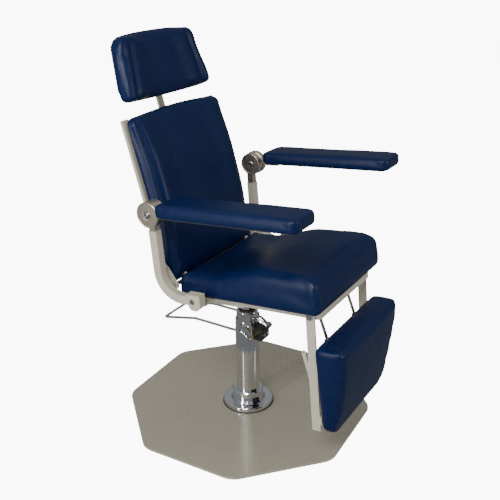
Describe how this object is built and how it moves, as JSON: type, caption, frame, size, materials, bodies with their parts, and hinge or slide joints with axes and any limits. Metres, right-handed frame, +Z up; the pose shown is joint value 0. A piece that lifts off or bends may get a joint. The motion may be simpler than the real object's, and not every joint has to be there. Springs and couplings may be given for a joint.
{
  "type": "patient recliner chair",
  "caption": "Height-adjustable swivel treatment chair with reclining back, coupled calf rest, telescoping headrest and flip-up armrests on an octagonal pedestal base.",
  "frame": {"origin": "centre of the base plate's underside, on the pedestal's axis at floor level", "axes": "+Z up along the pedestal, the sitter faces -Y and the sitter's right hand is at -X"},
  "size_m": [0.7216, 0.7662, 1.1287],
  "materials": {
    "base_paint": "semi-gloss taupe paint",
    "black_cast": "black painted casting and moulded knobs",
    "rubber": "black rubber",
    "fastener_steel": "plain turned steel",
    "chrome": "polished chrome plate",
    "brass": "bare brass",
    "beige_paint": "smooth semi-gloss beige enamel",
    "nickel": "dull nickel plate",
    "plywood": "plywood under black lining cloth",
    "navy_vinyl": "soft-sheen navy vinyl upholstery"
  },
  "bodies": {
    "base": {"base_plate": "base_paint", "base_gasket": "rubber", "base_flange": "chrome", "base_collar": "chrome", "base_screws": "fastener_steel", "pump_cylinder": "chrome", "pump_head": "chrome", "pump_valve_caps": "fastener_steel", "pump_valve_block": "black_cast", "pump_pivot_pin": "brass"},
    "pedal": {"pump_bail": "chrome"},
    "release": {"release_knob": "fastener_steel"},
    "lift": {"lift_ram": "chrome", "lift_piston": "fastener_steel", "thrust_washer": "fastener_steel"},
    "seat": {"swivel_housing": "black_cast", "seat_mount_plate": "beige_paint", "seat_rails": "beige_paint", "seat_front_bar": "beige_paint", "seat_rear_bar": "beige_paint", "arm_brackets": "beige_paint", "arm_post_right": "beige_paint", "arm_post_left": "beige_paint", "frame_bolts": "fastener_steel", "back_brackets": "beige_paint", "back_pivot_pins": "fastener_steel", "seat_board": "plywood", "seat_cushion": "navy_vinyl", "legrest_stops": "chrome", "stop_bumpers": "rubber"},
    "back": {"back_side_bars": "beige_paint", "back_cross_bars": "beige_paint", "back_hinge_plates": "beige_paint", "back_board": "plywood", "back_cushion": "navy_vinyl", "headrest_guide": "beige_paint"},
    "headrest_clamp": {"headrest_clamp_knob": "black_cast"},
    "headrest_slider": {"headrest_bar": "beige_paint"},
    "headrest": {"headrest_bracket": "beige_paint", "headrest_pin": "fastener_steel", "headrest_board": "plywood", "headrest_cushion": "navy_vinyl"},
    "legrest": {"leg_bars": "beige_paint", "calf_cross_bars": "beige_paint", "leg_stay": "beige_paint", "calf_board": "plywood", "calf_cushion": "navy_vinyl"},
    "arm_slider_right": {"arm_slider_right": "nickel", "arm_pivot_bolt_right": "fastener_steel"},
    "arm_right": {"arm_disc_right": "nickel", "arm_bar_right": "nickel", "arm_board_right": "plywood", "arm_pad_right": "navy_vinyl"},
    "arm_slider_left": {"arm_slider_left": "nickel", "arm_pivot_bolt_left": "fastener_steel"},
    "arm_left": {"arm_disc_left": "nickel", "arm_bar_left": "nickel", "arm_board_left": "plywood", "arm_pad_left": "navy_vinyl"}
  },
  "joints": [
    {"name": "lift_slide", "type": "slide", "parent": "base", "child": "lift", "axis": [0, 0, 1], "range_m": [0, 0.15]},
    {"name": "seat_swivel", "type": "hinge", "parent": "lift", "child": "seat", "pos_m": [0, 0, 0.37], "axis": [0, 0, 1], "continuous": true},
    {"name": "back_recline", "type": "hinge", "parent": "seat", "child": "back", "pos_m": [0, 0.10149, 0.47159], "axis": [-1, 0, 0], "range_deg": [0, 60]},
    {"name": "legrest_swing", "type": "hinge", "parent": "seat", "child": "legrest", "pos_m": [0, -0.29725, 0.4566], "axis": [-1, 0, 0], "range_deg": [0, 75]},
    {"name": "headrest_slide", "type": "slide", "parent": "back", "child": "headrest_slider", "axis": [0, 0.274, 0.9617], "range_m": [-0.02, 0.09]},
    {"name": "headrest_tilt", "type": "hinge", "parent": "headrest_slider", "child": "headrest", "pos_m": [0, 0.30464, 0.98232], "axis": [-1, 0, 0], "range_deg": [-20, 20]},
    {"name": "headrest_clamp_turn", "type": "hinge", "parent": "back", "child": "headrest_clamp", "pos_m": [0, 0.26879, 0.80537], "axis": [0, 0.9617, -0.274], "range_deg": [-90, 90]},
    {"name": "arm_height_right", "type": "slide", "parent": "seat", "child": "arm_slider_right", "axis": [0, 0.0854, 0.9963], "range_m": [-0.012, 0.06]},
    {"name": "arm_height_left", "type": "slide", "parent": "seat", "child": "arm_slider_left", "axis": [0, 0.0854, 0.9963], "range_m": [-0.024, 0.048]},
    {"name": "arm_flip_right", "type": "hinge", "parent": "arm_slider_right", "child": "arm_right", "pos_m": [-0.268, 0.13188, 0.6915], "axis": [-1, 0, 0], "range_deg": [0, 90]},
    {"name": "arm_flip_left", "type": "hinge", "parent": "arm_slider_left", "child": "arm_left", "pos_m": [0.268, 0.13293, 0.70376], "axis": [-1, 0, 0], "range_deg": [0, 90]},
    {"name": "pedal_pump", "type": "hinge", "parent": "base", "child": "pedal", "pos_m": [0, -0.044, 0.261], "axis": [-1, 0, 0], "range_deg": [0, 16], "stiffness_Nm_per_rad": 3, "springref_deg": -34.38},
    {"name": "release_turn", "type": "hinge", "parent": "base", "child": "release", "pos_m": [0, -0.026, 0.311], "axis": [0, -0.9241, -0.3821], "range_deg": [-90, 90]}
  ],
  "couplings": [
    {"joint": "legrest_swing", "follows": "back_recline", "ratio": 1.25}
  ]
}
